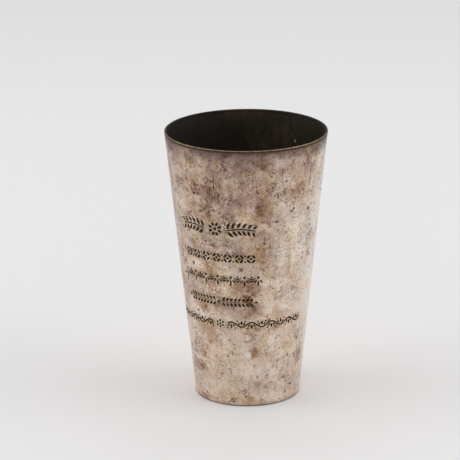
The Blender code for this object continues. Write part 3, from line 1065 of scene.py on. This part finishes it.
def seam(braze, lining):
    """The brazed strip, filed flush with the sheet on both sides, under the lining's film inside."""
    maker = bmesh.new()
    corners = [(-1, inner_radius), (-1, outer_radius), (1, outer_radius), (1, inner_radius)]
    sections = []
    for height in spread(WALL_BOTTOM, WALL_TOP, SEAM_ROWS):
        dip = unevenness(math.pi, height)
        places = [(side * SEAM_WIDTH / 2, radius(height) - dip, height) for side, radius in corners]
        sections.append([maker.verts.new(place) for place in places])
    skin(maker, sections)
    maker.faces.new(sections[0])
    maker.faces.new(sections[-1])
    finish_piece(maker, "seam", [braze, lining], "side_seam", [0, 0, 0, 1])


def solder_film(name, replaced, bottom, top, recess, outside, inside):
    """A film of solder between the edges of two pieces, a little behind both."""
    outline = [
        (inner_radius(bottom) + recess, bottom), (outer_radius(bottom) - recess, bottom),
        (outer_radius(top) - recess, top), (inner_radius(top) + recess, top),
    ]
    finish_piece(turned(outline), name, [outside, inside], replaced, [0, 0, 0, 1])


def lip(worn, tarnish, lining):
    """The wire round the mouth, rounded on top. Only its outer shoulder is rubbed bright; the patina below
    it is also painted shade under the bead.
    """
    low, high = reach("mouth_wire")
    middle, half = (low + high) / 2, (high - low) / 2
    ease = 0.2 * MM
    ease_steps, dome_steps = 3, 18
    rubbed_from, rubbed_to = 2, 6
    outline = arc((middle - half + ease, LIP_BOTTOM + ease), (ease, ease), 180, 270, ease_steps)
    outline += arc((middle + half - ease, LIP_BOTTOM + ease), (ease, ease), 270, 360, ease_steps)
    dome = len(outline)
    outline += arc((middle, LIP_TOP - half), (half, half), 0, 180, dome_steps)
    # The lip's lower faces take the patina, which is also painted shade under the bead.
    painted = [1] * len(outline)
    for index in range(dome + rubbed_from, dome + rubbed_to):
        painted[index] = 0
    for index in range(dome + dome_steps // 2, len(outline)):
        painted[index] = 2
    finish_piece(
        turned(outline), "lip", [worn, tarnish, lining], "mouth_wire", painted)


def foot(worn, plate, dirt):
    """The ring that the cup stands on, flush with the wall.

    It is plated outside and rubbed through underneath. Round its heel a dark band is painted, for dirt
    and for the shade where the heel turns down to the table, with a rubbed line above it.
    """
    inside = reach("foot_ring")[0]
    heel, edge = 0.8 * MM, 0.3 * MM
    heel_steps, edge_steps, plated_steps = 12, 4, 2
    shaded_dirt_from, shaded_dirt_to = 2, 8
    outline = [(inside, FOOT_TOP)]
    outline += arc((inside + edge, edge), (edge, edge), 180, 270, edge_steps)
    bend = len(outline)
    outline += arc((outer_radius(heel) - heel, heel), (heel, heel), 270, 360, heel_steps)
    outline += [(outer_radius(FOOT_TOP), FOOT_TOP)]
    painted = [0] * len(outline)
    # These heel faces take the patina, which is painted shade where the heel turns to the table as well as
    # dirt.
    for index in range(bend + shaded_dirt_from, bend + shaded_dirt_to):
        painted[index] = 2
    for index in range(bend + heel_steps - plated_steps, len(outline)):
        painted[index] = 1
    finish_piece(
        turned(outline), "foot", [worn, plate, dirt], "foot_ring", painted)


def base(film):
    """The base, with shallow rings turned in both faces and the mark of the lathe's centre."""
    edge = reach("base_disc")[1]
    rings = [edge * share for share in (0.93, 0.72, 0.69, 0.4, 0.37, 0.1, 0.06)]
    dish, ease, pole = 0.08 * MM, 0.15 * MM, 0.2 * MM
    top, bottom = [], []
    for index, radius in enumerate(rings):
        drop = dish if index % 2 else 0.0
        top.append((radius, BASE_TOP - drop))
        bottom.append((radius, BASE_BOTTOM + drop))
    outline = [(edge - ease, BASE_BOTTOM), (edge, BASE_BOTTOM + ease)]
    outline += [(edge, BASE_TOP - ease), (edge - ease, BASE_TOP)]
    outline += top
    outline += [(pole, BASE_TOP - 2 * dish), (pole, BASE_BOTTOM + 2 * dish)]
    outline += bottom[::-1]
    finish_piece(turned(outline), "base", [film], "base_disc")


def fillet(solder):
    """The hollow fillet of solder in the inside corner."""
    bottom = BASE_TOP + CONTACT
    leg = FILLET_TOP - bottom
    corner = (inner_radius(bottom) - CONTACT, bottom)
    upper = (inner_radius(FILLET_TOP) - CONTACT, FILLET_TOP)
    toe = (corner[0] - leg, bottom)
    hollow_steps = 6
    hollow = arc((toe[0], FILLET_TOP), (upper[0] - toe[0], leg), 360, 270, hollow_steps)[1:-1]
    outline = [toe, corner, upper] + hollow
    finish_piece(turned(outline), "fillet", [solder], "base_solder")


# The studio

CAMERA_TURN = 25.5          # degrees from the cup's front towards +X
CAMERA_DISTANCE = 1.2748    # along the table, to the cup's axis
CAMERA_HEIGHT = 0.4841
PITCH_DOWN = 17.321         # this and the next two in degrees
PAN_LEFT = 0.385
ROLL = -0.478
PICTURE_SIDE = 460
FOCAL_PIXELS = 2600
SENSOR = 36.0               # mm
FLOOR_SIZE = 12.0
# The table's colour from the cup outwards, painted darker further away for the falloff of the light.
FLOOR_FALLOFF_COLOURS = [(0.0, "#e7e6e6"), (1.0, "#dbdcdc"), (0.25, "#e8e8e8")]
FLOOR_REACH = 2.0           # how far from the cup the colour at 1.0 is reached
ROOM_LIGHT = 0.62           # how strongly the white room lights the cup
ROOM_SEEN = 0.83            # how bright the camera and the metal see it
# Each soft box: angle from the camera's direction in degrees, distance, height, side, and watts.
SOFT_BOXES = {
    "soft_box_right": (80, 1.8, 0.75, 1.8, 16),
    "soft_box_left": (-85, 1.8, 0.75, 1.8, 16),
    "soft_box_top": (180, 0.5, 1.9, 1.8, 7),
}


def camera():
    """The camera, where the photograph was taken from."""
    data = bpy.data.cameras.new("camera")
    data.sensor_width = SENSOR
    data.lens = SENSOR * FOCAL_PIXELS / PICTURE_SIDE
    made = bpy.data.objects.new("camera", data)
    bpy.context.scene.collection.objects.link(made)
    turn = math.radians(CAMERA_TURN)
    heading = Matrix.Rotation(turn + math.radians(PAN_LEFT), 4, "Z")
    tilt = Matrix.Rotation(math.radians(90 - PITCH_DOWN), 4, "X")
    roll = Matrix.Rotation(math.radians(ROLL), 4, "Z")
    place = Matrix.Translation(around(turn, CAMERA_DISTANCE, CAMERA_HEIGHT))
    made.matrix_world = place @ heading @ tilt @ roll
    bpy.context.scene.camera = made


def floor():
    """A pale table that runs back past the picture, painted darker further from the cup for the falloff of
    the light.
    """
    made, tree, shader = material("studio_floor")
    place = node(tree, "TexCoord").outputs["Object"]
    far = vector_maths(tree, "LENGTH", place)
    share = scaled(tree, far, 0.0, FLOOR_REACH)
    pale = node(tree, "ValToRGB", {"Fac": share}, FLOOR_FALLOFF_COLOURS)
    join(tree, shader, {"Base Color": pale, "Roughness": 0.9, "Specular IOR Level": 0.2})
    maker = bmesh.new()
    bmesh.ops.create_grid(maker, x_segments=1, y_segments=1, size=FLOOR_SIZE / 2)
    table = into_scene(maker, "floor", [made])


def soft_box(name, angle, distance, height, side, power):
    """A square lamp that faces the middle of the cup."""
    data = bpy.data.lights.new(name, "AREA")
    data.shape = "SQUARE"
    data.size = side
    data.energy = power
    made = bpy.data.objects.new(name, data)
    bpy.context.scene.collection.objects.link(made)
    made.location = around(math.radians(CAMERA_TURN + angle), distance, height)
    aim = Vector((0.0, 0.0, LIP_TOP / 2)) - made.location
    made.rotation_euler = aim.to_track_quat("-Z", "Y").to_euler()


def surroundings():
    """An even white room, which the camera and the metal see as pale as the table."""
    world = bpy.data.worlds.new("studio")
    bpy.context.scene.world = world
    world.use_nodes = True
    tree = world.node_tree
    rays = node(tree, "LightPath").outputs
    seen = maths(tree, "MAXIMUM", rays["Is Camera Ray"], rays["Is Glossy Ray"])
    clear = maths(tree, "MAXIMUM", seen, rays["Is Transmission Ray"])
    strength = scaled(tree, clear, low=ROOM_LIGHT, high=ROOM_SEEN)
    join(tree, tree.nodes["Background"], {"Color": (1.0, 1.0, 1.0, 1.0), "Strength": strength})


scene = bpy.context.scene
scene.view_settings.view_transform = "Standard"

camera()
floor()
surroundings()
for name, setting in SOFT_BOXES.items():
    soft_box(name, *setting)

plate = mottled_silver_plate()
lining = blackened_lining()
solder = browned_solder()
worn = rubbed_nickel_silver()
patina = cut_patina()
lip_inset, foot_inset = 0.04 * MM, 0.02 * MM
wall(plate, lining, patina)
seam(browned_braze(), lining)
solder_film(
    "lip_solder", "mouth_solder", WALL_TOP + CONTACT, LIP_BOTTOM - CONTACT, lip_inset, solder, lining)
solder_film(
    "foot_solder_line", "foot_solder", FOOT_TOP + CONTACT, WALL_BOTTOM - CONTACT, foot_inset, plate, solder)
lip(worn, patina, lining)
foot(worn, plate, patina)
base(blackened_base())
fillet(solder)
